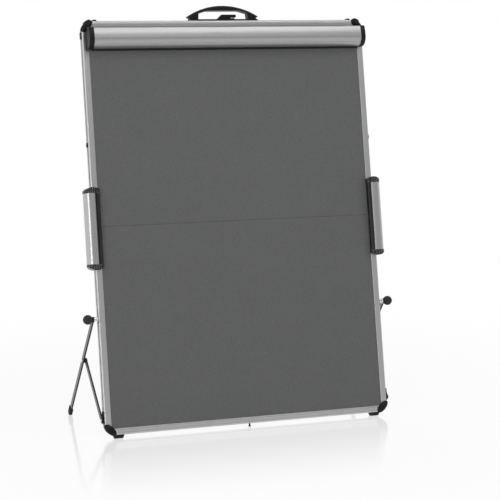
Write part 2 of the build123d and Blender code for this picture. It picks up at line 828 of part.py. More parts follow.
# Rubber jaw under the bar: its nose presses the paper on the felt
jaw_face = -panel_front + side_gap
jaw_half_length = clamp_half_length - jaw_end_gap
with BuildPart() as jaw_strip:
    with BuildSketch(end_on(jaw_half_length)):
        nose_top = clamp_foot - jaw_thick + jaw_nose
        with BuildLine():
            Polyline(
                (jaw_face, clamp_foot - jaw_thick),
                (clamp_stand_off + jaw_back, clamp_foot - jaw_thick),
                (clamp_stand_off + jaw_back, clamp_foot),
                (clamp_stand_off, clamp_foot),
                (clamp_stand_off, clamp_foot + jaw_nose),
                (clamp_stand_off - jaw_thick, clamp_foot + jaw_nose),
                (jaw_nose, nose_top),
                (jaw_face, nose_top),
                close=True,
            )
        make_face()
    extrude(amount=jaw_half_length * 2)
keep("jaw_strip", jaw_strip)


# Grip sleeves: sections are drawn across the board, with depth as a negative forward distance
def section_point(point):
    """A section point given as (beyond the side, forward of the face), in the axes of an across plane."""
    return (half_width + point[0], -point[1])


grip_points = [section_point(point) for point in (grip_shell_front, grip_shell_belly, grip_shell_back)]
shell_arc = ThreePointArc(*grip_points)
grip_centre = shell_arc.arc_center


def grip_arc(inward):
    """Three points of the shell's arc, moved inward by an amount."""
    places = [Vector(*point) for point in grip_points]
    return [place - (place - grip_centre).normalized() * inward for place in places]


def grip_face(inward, crest):
    """Outline of the sleeve: the arc moved inward from the shell's outside, the ridge raised by crest."""
    start, middle, end = grip_arc(inward)
    shell_start = grip_arc(min(inward, 0))[0]
    with BuildLine() as outline:
        Polyline(
            (grip_inner - crest, -slide_gap),
            (grip_inner - crest, grip_shoulder * -1),
            (grip_crest_start, -grip_crest - crest),
            (grip_crest_end, -grip_crest - crest),
            shell_start,
        )
        if inward > 0:
            Line(shell_start, start)
        ThreePointArc(start, middle, end)
        Polyline(
            end,
            (half_width + slide_gap, end.Y),
            (half_width + slide_gap, -slide_gap),
            (grip_inner - crest, -slide_gap),
        )
    make_face(outline.edges())


grip_foot = grip_middle - grip_length / 2
grip_body_foot = grip_foot + grip_cap_length
grip_body_length = grip_length - 2 * grip_cap_length

with BuildPart() as grip_body:
    with BuildSketch(across(grip_body_foot)):
        grip_face(shell_thick, 0)
    extrude(amount=grip_body_length)
    key_top = grip_body_foot + grip_body_length - slot_lip
    key_plane = at(half_width, key_top - grip_key_length / 2, slot_line, up, right)
    with Locations(key_plane.offset(slide_gap)):
        Box(grip_key_length, slot_mouth - 2 * key_gap, slot_lip + slide_gap + key_gap, align=below)
    slot_key(key_plane, grip_key_length)
keep("grip_body_right", grip_body)
keep("grip_body_left", other_side(grip_body))

with BuildPart() as grip_shell:
    with BuildSketch(across(grip_body_foot)):
        outer = grip_arc(0)
        inner = grip_arc(shell_thick)
        with BuildLine():
            ThreePointArc(*outer)
            Line(outer[2], inner[2])
            ThreePointArc(*inner)
            Line(inner[0], outer[0])
        make_face()
    extrude(amount=grip_body_length)
keep("grip_shell_right", grip_shell)
keep("grip_shell_left", other_side(grip_shell))


def flute_places():
    """Points spread evenly along the cap's arc, a little inside its ends."""
    grown = [place + (place - grip_centre).normalized() * grip_cap_grow for place in map(Vector, grip_points)]
    arc = ThreePointArc(*grown)
    return [arc @ ((number + 1) / (flute_count + 1)) for number in range(flute_count)]


def grip_cap(end_height, sign):
    """Domed cap at one end of the sleeve: +1 at the top, -1 at the bottom."""
    with BuildPart() as cap:
        with BuildSketch(across(end_height)):
            grip_face(-grip_cap_grow, grip_cap_grow)
        extrude(amount=sign * grip_cap_length)
        with BuildSketch(front(rail_depth * 2)):
            dome_inner = grip_inner - grip_cap_grow * 2
            dome_outer = section_point(grip_shell_belly)[0] + grip_cap_grow * 2
            dome_middle = (dome_inner + dome_outer) / 2
            with BuildLine():
                ThreePointArc(
                    (dome_inner, end_height + sign * grip_dome_inner),
                    (dome_middle, end_height + sign * grip_cap_length),
                    (dome_outer, end_height + sign * grip_dome_outer),
                )
                Polyline(
                    (dome_outer, end_height + sign * grip_dome_outer),
                    (dome_outer, end_height),
                    (dome_inner, end_height),
                    (dome_inner, end_height + sign * grip_dome_inner),
                )
            make_face()
        extrude(amount=rail_depth * 4, mode=Mode.INTERSECT)
        with Locations(*[across(end_height).location * Location(flute) for flute in flute_places()]):
            Cylinder(flute_radius, grip_cap_length * 3, mode=Mode.SUBTRACT)
        if sign > 0:
            with Locations(at(half_width, grip_foot + grip_length, slot_line, up, right)):
                pocket_wide = stop_wide + stop_pocket_side * 2
                pocket_high = stop_height + stop_pocket_over
                Box(stop_pocket_deep * 2, pocket_wide, pocket_high * 2, mode=Mode.SUBTRACT)
    return cap


top_cap = grip_cap(grip_body_foot + grip_body_length, 1)
low_cap = grip_cap(grip_body_foot, -1)
with BuildPart() as grip_caps:
    add(top_cap.part)
    add(low_cap.part)
keep("grip_caps_right", grip_caps)
keep("grip_caps_left", other_side(grip_caps))

# Leg brackets at the foot of the side rails
bracket_heads = [at(half_width + bracket_thick, s, slot_line, up, right) for s in bracket_screws_at]
bracket_middle = (bracket_start + bracket_end) / 2
with BuildPart() as bracket:
    with Locations(side_slot(bracket_middle)):
        Box(bracket_end - bracket_start, bracket_wide, bracket_thick, align=above)
    plate_ends = bracket.edges().filter_by(Axis(board.origin, right))
    fillet(plate_ends, radius=bracket_round)
    sunk_holes(bracket_heads, bracket_thick)
    with Locations(at(half_width, bracket_pivot, leg_line, up, right)):
        Cylinder(rivet_radius, bracket_thick * 4, mode=Mode.SUBTRACT)
keep("leg_brackets", both_sides(bracket))
bracket_screws = sunk_screws(bracket_heads, bracket_thick + slot_lip + slot_deep - 2 * key_gap)
with BuildPart() as lower_screws:
    add(both_sides(bracket_screws).part)
    add(both_sides(sunk_screws(lower_hinge_screws, hinge_screw_length)).part)
keep("lower_screws", lower_screws)

nut_middle = sum(bracket_screws_at) / 2
bores = [s - nut_middle for s in bracket_screws_at]
keep("bracket_nuts", both_sides(slot_nut(side_slot(nut_middle), bracket_nut_long, bores, screw_radius)))

strut_in = half_width + strut_side
spacer_in = strut_in + strut_thick
leg_in = spacer_in + spacer_thick + leg_play
leg_out = leg_in + leg_thick

with BuildPart() as bracket_rivet:
    with Locations(at(half_width - rivet_head_height, bracket_pivot, leg_line, up, right)):
        Cylinder(rivet_inner_head, rivet_head_height, align=above)
        Cylinder(rivet_radius, rivet_head_height + strut_side + strut_thick + pin_gap, align=above)
    with Locations(at(spacer_in + pin_gap, bracket_pivot, leg_line, up, right)):
        Cylinder(rivet_head, rivet_head_height, align=above)
    head_top = bracket_rivet.faces().sort_by(Axis(board.origin, right))[-1]
    fillet(head_top.edges(), radius=rivet_round)
keep("bracket_rivets", both_sides(bracket_rivet))

# Strut and leg: flat bars with round ends, drawn along their own lines
strut_up = up * cos(strut_angle) + back * sin(strut_angle)
leg_down = back * sin(leg_angle) - up * cos(leg_angle)


def flat_bar(plane, length, wide, thick, round_far_end):
    """Flat bar along the plane's local x from its origin; its thickness rises from the plane."""
    with BuildPart() as bar:
        with BuildSketch(plane):
            Circle(wide / 2)
            with Locations((length / 2, 0)):
                Rectangle(length, wide)
            if round_far_end:
                with Locations((length, 0)):
                    Circle(wide / 2)
        extrude(amount=thick)
        broad = bar.faces().filter_by(plane).sort_by(Axis(plane.origin, plane.z_dir))
        fillet(broad[0].edges() + broad[-1].edges(), radius=bar_edge)
    return bar


strut_plane = at(strut_in, bracket_pivot, leg_line, strut_up, right)
strut_blank = flat_bar(strut_plane, strut_length, strut_wide, strut_thick, True)
with BuildPart() as strut:
    add(strut_blank.part)
    with Locations(strut_plane):
        with Locations((0, 0, 0), (strut_length, 0, 0)):
            Cylinder(rivet_radius + pin_gap, strut_thick * 3, mode=Mode.SUBTRACT)
keep("strut_right", strut)
keep("strut_left", other_side(strut))

elbow_plane = at(spacer_in, elbow[1], elbow[0], leg_down, right)
with BuildPart() as spacer:
    with Locations(elbow_plane):
        Cylinder(spacer_radius, spacer_thick, align=above)
        Cylinder(rivet_radius + pin_gap, spacer_thick * 3, mode=Mode.SUBTRACT)
keep("elbow_spacer_right", spacer)
keep("elbow_spacer_left", other_side(spacer))

with BuildPart() as elbow_rivet:
    with Locations(elbow_plane.offset(-strut_thick - rivet_head_height + pin_gap)):
        Cylinder(rivet_head, rivet_head_height - pin_gap * 2, align=above)
        Cylinder(rivet_radius, leg_out - strut_in + rivet_head_height + pin_gap, align=above)
    with Locations(at(leg_out + pin_gap, elbow[1], elbow[0], leg_down, right)):
        Cylinder(rivet_head, rivet_head_height, align=above)
    head_top = elbow_rivet.faces().sort_by(Axis(board.origin, right))[-1]
    fillet(head_top.edges(), radius=rivet_round)
keep("elbow_rivet_right", elbow_rivet)
keep("elbow_rivet_left", other_side(elbow_rivet))

leg_plane = at(leg_in, knob_rest, leg_line, leg_down, right)
leg_bar_length = leg_length - leg_foot_length / 3
leg_blank = flat_bar(leg_plane, leg_bar_length, leg_wide, leg_thick, False)
with BuildPart() as leg:
    add(leg_blank.part)
    with Locations(leg_plane):
        Cylinder(stud_radius + pin_gap, leg_thick * 3, mode=Mode.SUBTRACT)
        with Locations((arm_length, 0, 0)):
            Cylinder(rivet_radius + pin_gap, leg_thick * 3, mode=Mode.SUBTRACT)
keep("leg_right", leg)
keep("leg_left", other_side(leg))

# Rubber foot of the leg: a sock over the bar's end, round below and flat where it stands
with BuildPart() as leg_foot:
    sock_in = leg_in - (leg_foot_thick - leg_thick) / 2
    with BuildSketch(at(sock_in, knob_rest, leg_line, leg_down, right)):
        with Locations((leg_length, 0)):
            Circle(leg_foot_radius)
        sock_length = leg_foot_length - leg_foot_radius
        with Locations((leg_length - sock_length, 0)):
            Rectangle(sock_length, leg_foot_radius * 2, align=(Align.MIN, Align.CENTER))
    extrude(amount=leg_foot_thick)
    fillet(leg_foot.edges().filter_by(Axis(board.origin, right), reverse=True), radius=edge_round)
    split(bisect_by=Plane.XY, keep=Keep.TOP)
    add(leg_blank.part, mode=Mode.SUBTRACT)
keep("leg_foot_right", leg_foot)
keep("leg_foot_left", other_side(leg_foot))


# The clamping screw: bolt head in the slot, washers and tube outside the rail, ball knob outside the leg
def on_stud(x):
    """Plane across the clamping stud at a place along the board's width."""
    return at(x, knob_rest, leg_line, up, right)


with BuildPart() as slot_bolt:
    with Locations(on_stud(cavity_in + key_gap)):
        Cylinder(bolt_head_radius, slot_deep - 2 * key_gap, align=above)
    with Locations(on_stud(cavity_out - key_gap)):
        Cylinder(stud_radius, knob_place - cavity_out + key_gap, align=above)

washer_in = half_width + side_gap
tube_in = washer_in + inner_washer_thick
outer_in = leg_in - pin_gap - washer_thick
with BuildPart() as bolt_set:
    add(slot_bolt.part)
    for start, radius, thick in (
        (washer_in, washer_radius, inner_washer_thick),
        (tube_in + pin_gap, tube_radius, outer_in - tube_in - pin_gap * 2),
        (outer_in, washer_radius, washer_thick),
    ):
        with BuildPart(on_stud(start), mode=Mode.PRIVATE) as ring:
            Cylinder(radius, thick, align=above)
            Cylinder(stud_radius + pin_gap, thick * 3, mode=Mode.SUBTRACT)
        add(ring.part)
keep("bolt_set_right", bolt_set)
keep("bolt_set_left", other_side(bolt_set))

with BuildPart() as knob:
    with Locations(on_stud(knob_place)):
        Sphere(knob_radius)
    knob_seat = leg_out + pin_gap
    with Locations(on_stud(knob_seat)):
        Cylinder(knob_neck_radius, knob_place - knob_seat, align=above)
    split(bisect_by=on_stud(knob_seat), keep=Keep.TOP)
    with Locations(on_stud(knob_seat)):
        Cylinder(stud_radius + pin_gap, knob_place - knob_seat + pin_gap, align=above, mode=Mode.SUBTRACT)
keep("knob_right", knob)
keep("knob_left", other_side(knob))
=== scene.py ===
# %% [markdown]
# # Tabletop flip chart
# The board is an aluminium frame with a grey felt face in two halves. A clamp bar holds the paper, a handle
# carries the folded board, and two flat legs hold it up. The solid parts come from the CAD model, which is
# loaded as the frame. The forms of the real board are already in those solids, so this lesson adds no
# shapes to them. It gives them their finishes, and sets the floor, the lights and the camera.

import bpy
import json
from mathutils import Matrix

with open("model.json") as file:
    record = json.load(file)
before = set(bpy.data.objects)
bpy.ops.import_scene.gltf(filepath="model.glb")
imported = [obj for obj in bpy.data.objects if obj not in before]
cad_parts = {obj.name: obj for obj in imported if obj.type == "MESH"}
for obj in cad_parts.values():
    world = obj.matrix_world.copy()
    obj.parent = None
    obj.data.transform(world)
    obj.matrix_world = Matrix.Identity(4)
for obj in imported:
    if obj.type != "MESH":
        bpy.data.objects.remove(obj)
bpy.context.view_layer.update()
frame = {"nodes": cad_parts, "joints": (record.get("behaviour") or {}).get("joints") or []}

import json
from math import atan2, cos, degrees, pi, sin

import bmesh
import bpy
from mathutils import Vector

nodes = frame["nodes"]
print("nodes in the frame:", len(nodes))

# %% [markdown]
# The board leans back, and the lines in its metal have to lean with it. The lean could be copied here as a
# number, but it is read from the frame instead, so that the two always agree: a grip slides along the
# board, so its joint points that way. The lower front edge of the board, which the camera's distance is
# measured from, is found from the pivot of the latch, on the top edge.

# %% Find the board's plane
latch_height = 0.9765
latch_depth = 0.009
joints = {joint["name"]: joint for joint in frame["joints"]}
board_up = Vector(joints["sleeve_right_slide"]["axis"]).normalized()
lean = atan2(board_up.y, board_up.z)
board_back = Vector((0.0, cos(lean), -sin(lean)))
board_foot = Vector(joints["latch_turn"]["pos_m"]) - board_up * latch_height - board_back * latch_depth
print("lean in degrees:", round(degrees(lean), 2), "foot:", [round(value, 4) for value in board_foot])

# %% [markdown]
# ## Effects that several finishes share
# A finish is rarely one flat colour. Drawn aluminium has fine lines along its length, moulded plastic has a
# grain, and every surface gathers a little dust and gets rubbed at its edges. Each effect could be wired
# anew in every material. Here it is a node group with named sockets, so that one group serves many
# materials with different values. The same few kinds of node come back in all of them, so each kind gets a
# short helper.

# %% Helpers for nodes
FLOAT, VECTOR = "NodeSocketFloat", "NodeSocketVector"


def set_inputs(tree, node, **inputs):
    """Give a node its inputs, each a value or another node's output.

    An input is named by its label, or by its place as i0, i1 and so on where two have the same label.
    """
    for key, value in inputs.items():
        by_place = key[0] == "i" and key[1:].isdigit()
        socket = node.inputs[int(key[1:]) if by_place else key.replace("_", " ")]
        if isinstance(value, bpy.types.NodeSocket):
            tree.links.new(value, socket)
        else:
            socket.default_value = value


def add_node(tree, kind, settings=None, **inputs):
    """A node with its settings and its inputs."""
    node = tree.nodes.new(kind)
    for key, value in (settings or {}).items():
        setattr(node, key, value)
    set_inputs(tree, node, **inputs)
    return node


# %% Helpers for values
def calculate(tree, operation, first, second=0.0, clamp=False):
    """The result of one Math node."""
    settings = {"operation": operation, "use_clamp": clamp}
    return add_node(tree, "ShaderNodeMath", settings, i0=first, i1=second).outputs[0]


def remap(tree, value, start=0.0, end=1.0, low=0.0, high=1.0, smooth=False):
    """A value that runs from start to end, turned into one that runs from low to high."""
    settings = {"interpolation_type": "SMOOTHSTEP" if smooth else "LINEAR"}
    ends = {"From_Min": start, "From_Max": end, "To_Min": low, "To_Max": high}
    return add_node(tree, "ShaderNodeMapRange", settings, Value=value, **ends).outputs[0]


def mix_values(tree, first, second, share):
    """A value that is the first where the share is 0 and the second where it is 1."""
    settings = {"data_type": "FLOAT"}
    return add_node(tree, "ShaderNodeMix", settings, Factor=share, i2=first, i3=second).outputs[0]


def noise(tree, place, scale, detail):
    """Cloudy noise from 0 to 1; a larger scale gives smaller clouds."""
    return add_node(tree, "ShaderNodeTexNoise", Vector=place, Scale=scale, Detail=detail).outputs[0]


# %% Helpers for places and directions
def vector_math(tree, operation, first, **inputs):
    """The outputs of one Vector Math node."""
    return add_node(tree, "ShaderNodeVectorMath", {"operation": operation}, i0=first, **inputs).outputs


def object_place(tree):
    """The place of a point of the surface, in metres."""
    return add_node(tree, "ShaderNodeTexCoord").outputs["Object"]


def turned_place(tree, turn):
    """The same place, turned so that a pattern follows a leaning piece."""
    place = object_place(tree)
    settings = {"rotation_type": "EULER_XYZ"}
    return add_node(tree, "ShaderNodeVectorRotate", settings, Vector=place, Rotation=turn).outputs[0]


# %% A helper for node groups
def new_group(name, inputs, outputs):
    """A shader group with named sockets: the group, what it is given and where its results go."""
    group = bpy.data.node_groups.new(name, "ShaderNodeTree")
    for label, kind, default in inputs:
        group.interface.new_socket(label, in_out="INPUT", socket_type=kind).default_value = default
    for label, kind in outputs:
        group.interface.new_socket(label, in_out="OUTPUT", socket_type=kind)
    return group, group.nodes.new("NodeGroupInput").outputs, group.nodes.new("NodeGroupOutput").inputs


# %% [markdown]
# Extruded aluminium is pulled through a die, which leaves faint lines along its length. A picture of such
# metal could be wrapped round each rail, but the rails would have to be unwrapped first. Noise needs no
# unwrapping: squeezed across the length and stretched along it, it turns into lines. Fine lines and some
# that are nine times as wide are mixed, because a die never scratches evenly.


# %% Drawn lines
def make_drawn_lines():
    """Group: fine lines along one axis, as a height and a mask."""
    group, given, result = new_group(
        "drawn_lines",
        [("Turn", VECTOR, (0, 0, 0)), ("Squeeze", VECTOR, (900, 900, 6)), ("Contrast", FLOAT, 0.6)],
        [("Height", FLOAT), ("Mask", FLOAT)],
    )
    turned = turned_place(group, given["Turn"])
    squeezed = vector_math(group, "MULTIPLY", turned, i1=given["Squeeze"])["Vector"]
    widened = vector_math(group, "SCALE", squeezed, Scale=0.11)["Vector"]
    fine_lines = noise(group, squeezed, scale=1.0, detail=3.0)
    wide_lines = noise(group, widened, scale=1.0, detail=1.0)
    height = mix_values(group, fine_lines, wide_lines, share=0.35)
    centred = calculate(group, "SUBTRACT", height, 0.5)
    contrasted = calculate(group, "MULTIPLY", centred, given["Contrast"])
    mask = calculate(group, "ADD", contrasted, 0.5, clamp=True)
    group.links.new(height, result["Height"])
    group.links.new(mask, result["Mask"])
    return group


drawn_lines = make_drawn_lines()
print("group:", drawn_lines.name)

# %% [markdown]
# Edges of a real piece are never knife sharp, and the anodised or moulded skin is rubbed thin there. The
# solids keep the shape that the CAD model gave them, so the edges are softened in the shading alone. The
# Bevel node gives the normal of a rounded edge. Where that normal differs from the plain one there is an
# edge, so the same node also tells where the skin is worn. On the fluted grip caps and along the rails the
# same mask also carries a painted highlight.


# %% Worn edges and painted edge highlights
def make_edge_wear_and_highlight():
    """Group: the normal of softened edges and a mask of them, for rubbed edges and painted edge highlights.
    """
    group, given, result = new_group(
        "edge_wear_and_highlight",
        [("Radius", FLOAT, 0.0004), ("Amount", FLOAT, 0.5), ("Breakup", FLOAT, 160.0)],
        [("Normal", VECTOR), ("Mask", FLOAT)],
    )
    rounded = add_node(group, "ShaderNodeBevel", {"samples": 6}, Radius=given["Radius"]).outputs[0]
    plain = add_node(group, "ShaderNodeNewGeometry").outputs["Normal"]
    agreement = vector_math(group, "DOT_PRODUCT", rounded, i1=plain)["Value"]
    edge = remap(group, agreement, start=1.0, end=0.8)
    patches = noise(group, object_place(group), given["Breakup"], detail=2.0)
    broken = calculate(group, "MULTIPLY", edge, patches)
    mask = calculate(group, "MULTIPLY", broken, given["Amount"])
    group.links.new(rounded, result["Normal"])
    group.links.new(mask, result["Mask"])
    return group


edge_wear_and_highlight = make_edge_wear_and_highlight()
print("group:", edge_wear_and_highlight.name)

# %% [markdown]
# Moulded plastic, rubber and cast metal come out of a textured mould. Modelling such a grain would take
# millions of faces, and a bump in the shading looks the same from any distance. A fine noise gives the
# height of the grain, and a second, broader noise gives the slight unevenness of colour and gloss.


# %% Mould grain
def make_mould_grain():
    """Group: the height of a fine grain and broad patches of colour and gloss."""
    group, given, result = new_group(
        "mould_grain",
        [("Fineness", FLOAT, 1500.0), ("Patch Size", FLOAT, 25.0)],
        [("Height", FLOAT), ("Patches", FLOAT)],
    )
    place = object_place(group)
    group.links.new(noise(group, place, given["Fineness"], detail=2.0), result["Height"])
    group.links.new(noise(group, place, given["Patch Size"], detail=3.0), result["Patches"])
    return group


mould_grain = make_mould_grain()
print("group:", mould_grain.name)

# %% [markdown]
# Dust settles on what faces up. An even coat would look like paint, so the group multiplies the upward part
# of the normal by noise, and the dust lies in thin patches. Faces that look sideways or down keep a tenth
# of it.


# %% Dust
def make_dust():
    """Group: a mask of thin dust, mostly on faces that look up."""
    group, given, result = new_group(
        "settled_dust",
        [("Amount", FLOAT, 0.15), ("Scale", FLOAT, 90.0)],
        [("Mask", FLOAT)],
    )
    normal = add_node(group, "ShaderNodeNewGeometry").outputs["Normal"]
    upward = add_node(group, "ShaderNodeSeparateXYZ", Vector=normal).outputs["Z"]
    rising = remap(group, upward, start=0.2, end=1.0, low=0.1)
    specks = noise(group, object_place(group), given["Scale"], detail=5.0)
    thin = calculate(group, "MULTIPLY", rising, specks)
    mask = calculate(group, "MULTIPLY", thin, given["Amount"], clamp=True)
    group.links.new(mask, result["Mask"])
    return group


settled_dust = make_dust()
print("group:", settled_dust.name)

# %% [markdown]
# Felt is a mat of short fibres pressed on the board, here with a faint woven look. Strands of hair would
# show each fibre, but from a few metres nobody could tell them from a bump, and they would make every
# render slow. Two crossed waves that are bent by noise give the weave, and a very fine noise gives the
# fibres. Specks of a few millimetres and broad clouds vary the tone, because that is what the eye still
# sees from afar.


# %% Felt fibres
def make_felt_fibres():
    """Group: the height and the tone of felt, from a faint weave, fine fibres, specks and clouds."""
    group, given, result = new_group(
        "felt_fibres",
        [
            ("Turn", VECTOR, (0, 0, 0)),
            ("Thread", FLOAT, 420.0),
            ("Fibre", FLOAT, 2600.0),
            ("Specks", FLOAT, 290.0),
            ("Clouds", FLOAT, 9.0),
        ],
        [("Height", FLOAT), ("Tone", FLOAT)],
    )
    turned = turned_place(group, given["Turn"])
    threads = []
    for direction in ("X", "Z"):
        wave = add_node(
            group,
            "ShaderNodeTexWave",
            {"bands_direction": direction},
            Vector=turned,
            Scale=given["Thread"],
            Distortion=3.0,
            Detail=2.0,
            Detail_Scale=1.5,
        )
        threads.append(wave.outputs["Fac"])
    weave = calculate(group, "MAXIMUM", *threads)
    fibre = noise(group, turned, given["Fibre"], detail=3.0)
    specks = noise(group, turned, given["Specks"], detail=2.0)
    clouds = noise(group, turned, given["Clouds"], detail=4.0)
    height = mix_values(group, weave, fibre, share=0.7)
    broad = mix_values(group, clouds, specks, share=0.8)
    tone = mix_values(group, height, broad, share=0.5)
    group.links.new(height, result["Height"])
    group.links.new(tone, result["Tone"])
    return group


felt_fibres = make_felt_fibres()
print("group:", felt_fibres.name)

# %% [markdown]
# ## The finishes
# Every finish starts from the Principled shader, which covers metal, plastic and felt with the same inputs.
# A metal and a plastic differ in base colour, in roughness and in which pattern drives them. The next cells
# write one function for drawn metal and one for what is moulded or cast, and call them with each piece's
# values.


# %% Helpers for materials
def new_material(name):
    """A material with a Principled shader: the material, its node tree and the shader."""
    material = bpy.data.materials.new(name)
    material.use_nodes = True
    tree = material.node_tree
    return material, tree, tree.nodes["Principled BSDF"]


def use_group(tree, group, **inputs):
    """The outputs of a shared effect, placed in a material with its own values."""
    return add_node(tree, "ShaderNodeGroup", {"node_tree": group}, **inputs).outputs


def blend_colours(tree, first, second, share):
    """Two colours mixed by a share from 0 to 1; each is an (r, g, b) or another node's output."""
    ends = {}
    for place, colour in (("i6", first), ("i7", second)):
        ends[place] = colour if isinstance(colour, bpy.types.NodeSocket) else (*colour, 1.0)
    return add_node(tree, "ShaderNodeMix", {"data_type": "RGBA"}, Factor=share, **ends).outputs[2]


def bump(tree, height, depth, normal):
    """A fine relief on top of a normal; its depth is in metres."""
    relief = add_node(tree, "ShaderNodeBump", Strength=1.0, Distance=depth, Height=height, Normal=normal)
    return relief.outputs[0]


def grey(level, blue=0.0):
    """A grey, with a little more or less blue."""
    return (level, level, level + blue)


# %% [markdown]
# The lines of a rail run along the rail. Side rails and grips follow the board's lean, so their pattern is
# turned by the lean and stretched along Z. The cross rails and the clamp bar lie along X, so theirs is
# stretched along X. Three values say this for all of them: one turn and two ways to squeeze.
#
# The bevel of the rails is a few millimetres wide. Such a soft edge catches the light of the room in a
# broad band, as the rounded corners of an extruded rail do. The rubbed mask is as wide there, so the
# bare-metal colour along the rail edges is partly wear and partly a painted highlight.

# %% Drawn metal
along_board = (lean, 0.0, 0.0)
upright = (900.0, 900.0, 1.5)
crosswise = (1.5, 900.0, 900.0)
line_depth = 1e-6
line_gloss = 0.07
bare_metal_and_highlight = (0.85, 0.85, 0.84)
pale_dust = (0.55, 0.54, 0.52)


def drawn_metal(name, dark, light, rough, squeeze, edge=0.0004, metallic=1.0):
    """Metal with fine lines along its length; dark and light are the levels of its grey."""
    material, tree, shader = new_material(name)
    lines = use_group(tree, drawn_lines, Turn=along_board, Squeeze=squeeze, Contrast=1.6)
    edges = use_group(tree, edge_wear_and_highlight, Radius=edge, Amount=0.6)
    dust = use_group(tree, settled_dust, Amount=0.1)
    colour = blend_colours(tree, grey(dark), grey(light), lines["Mask"])
    edge_toned = blend_colours(tree, colour, bare_metal_and_highlight, edges["Mask"])
    dusty = blend_colours(tree, edge_toned, pale_dust, dust["Mask"])
    roughness = remap(tree, lines["Mask"], low=rough - line_gloss, high=rough + line_gloss)
    normal = bump(tree, lines["Height"], line_depth, edges["Normal"])
    set_inputs(tree, shader, Base_Color=dusty, Roughness=roughness, Normal=normal, Metallic=metallic)
    print("drawn metal:", name)
    return material


# The wide edges of the side and cross rails give a band of bare-metal colour that is partly a painted
# highlight.
anodised_side = drawn_metal("anodised_side_rail", 0.50, 0.60, rough=0.32, squeeze=upright, edge=0.003)
anodised_cross = drawn_metal("anodised_cross_rail", 0.44, 0.52, rough=0.30, squeeze=crosswise, edge=0.004)
clamp_metal = drawn_metal("anodised_clamp_bar", 0.35, 0.41, rough=0.37, squeeze=crosswise, metallic=0.85)
shell_metal = drawn_metal("anodised_grip_shell", 0.47, 0.53, rough=0.30, squeeze=upright)

# %% [markdown]
# What comes out of a mould has no direction, so its colour and gloss follow the patches of the grain
# instead of lines. One function makes plastic, rubber, cast metal and also the small steel parts, which are
# tumbled smooth: only the values differ. A metallic of 1 makes the base colour that of the mirror image, as
# on bare metal.

# %% Moulded and cast material
dark_dust = (0.30, 0.29, 0.27)
rubbed_black = grey(0.05)
shinier = 0.06
duller = 0.08


def moulded(
    name,
    dark,
    light,
    rough,
    relief,
    fineness=1500.0,
    wear_and_highlight_colour=rubbed_black,
    wear_and_highlight_share=0.35,
    dust_amount=0.1,
    metallic=0.0,
    edge=0.0004,
    gloss=0.5,
):
    """Moulded or cast material with a grain, rubbed edges and a little dust; on the grip caps the edge
    colour is a painted highlight.
    """
    material, tree, shader = new_material(name)
    grain = use_group(tree, mould_grain, Fineness=fineness, Patch_Size=22.0)
    edges = use_group(tree, edge_wear_and_highlight, Radius=edge, Amount=wear_and_highlight_share)
    dust = use_group(tree, settled_dust, Amount=dust_amount)
    colour = blend_colours(tree, dark, light, grain["Patches"])
    edge_toned = blend_colours(tree, colour, wear_and_highlight_colour, edges["Mask"])
    dusty = blend_colours(tree, edge_toned, dark_dust, dust["Mask"])
    roughness = remap(tree, grain["Patches"], low=rough - shinier, high=rough + duller)
    normal = bump(tree, grain["Height"], relief, edges["Normal"])
    set_inputs(tree, shader, Base_Color=dusty, Roughness=roughness, Normal=normal)
    set_inputs(tree, shader, Metallic=metallic, Specular_IOR_Level=gloss)
    print("moulded:", name)
    return material


cast_silver = moulded(
    "cast_silver_corner",
    grey(0.42, 0.005),
    grey(0.50, 0.005),
    rough=0.36,
    relief=3e-6,
    fineness=1100.0,
    wear_and_highlight_colour=grey(0.65),
    metallic=1.0,
)
bright_steel = moulded(
    "bright_steel",
    grey(0.66, -0.01),
    grey(0.76, -0.01),
    rough=0.18,
    relief=2e-6,
    fineness=700.0,
    wear_and_highlight_colour=grey(0.9),
    wear_and_highlight_share=0.5,
    metallic=1.0,
    edge=0.0002,
)

# %% [markdown]
# The legs are flat bars, and their material makes them grey on the broad sides and near black on the
# narrow edges. Both belong to one solid, so two materials would need its faces picked out one by one. One
# material does it by itself: it tells the sides from the edges by the way a surface faces, because the
# broad sides face along X. The true normal is that of the flat face itself, so rounded shading doesn't
# blur the border.

# %% The leg bars
lightest_patch = 1.25


def make_leg_metal(name, side_colour, edge_colour):
    """Flat bar: one colour on the broad sides, another on the narrow edges."""
    material, tree, shader = new_material(name)
    grain = use_group(tree, mould_grain, Fineness=900.0, Patch_Size=40.0)
    edges = use_group(tree, edge_wear_and_highlight, Radius=0.0004, Amount=0.5)
    dust = use_group(tree, settled_dust, Amount=0.06)
    facing = add_node(tree, "ShaderNodeNewGeometry").outputs["True Normal"]
    sideways = add_node(tree, "ShaderNodeSeparateXYZ", Vector=facing).outputs["X"]
    broad = remap(tree, calculate(tree, "ABSOLUTE", sideways), start=0.6, end=0.8)
    lighter = tuple(lightest_patch * part for part in side_colour)
    sides = blend_colours(tree, side_colour, lighter, grain["Patches"])
    colour_by_facing = blend_colours(tree, edge_colour, sides, broad)
    edge_toned = blend_colours(tree, colour_by_facing, grey(0.45), edges["Mask"])
    dusty = blend_colours(tree, edge_toned, dark_dust, dust["Mask"])
    roughness = remap(tree, grain["Patches"], low=0.34, high=0.46)
    metallic = remap(tree, broad, high=0.7)
    normal = bump(tree, grain["Height"], 4e-6, edges["Normal"])
    set_inputs(tree, shader, Base_Color=dusty, Roughness=roughness, Metallic=metallic, Normal=normal)
    set_inputs(tree, shader, Specular_IOR_Level=0.3)
    print("leg metal:", name)
    return material


leg_metal = make_leg_metal("leg_bar_grey", side_colour=grey(0.15, 0.003), edge_colour=grey(0.012, 0.0003))
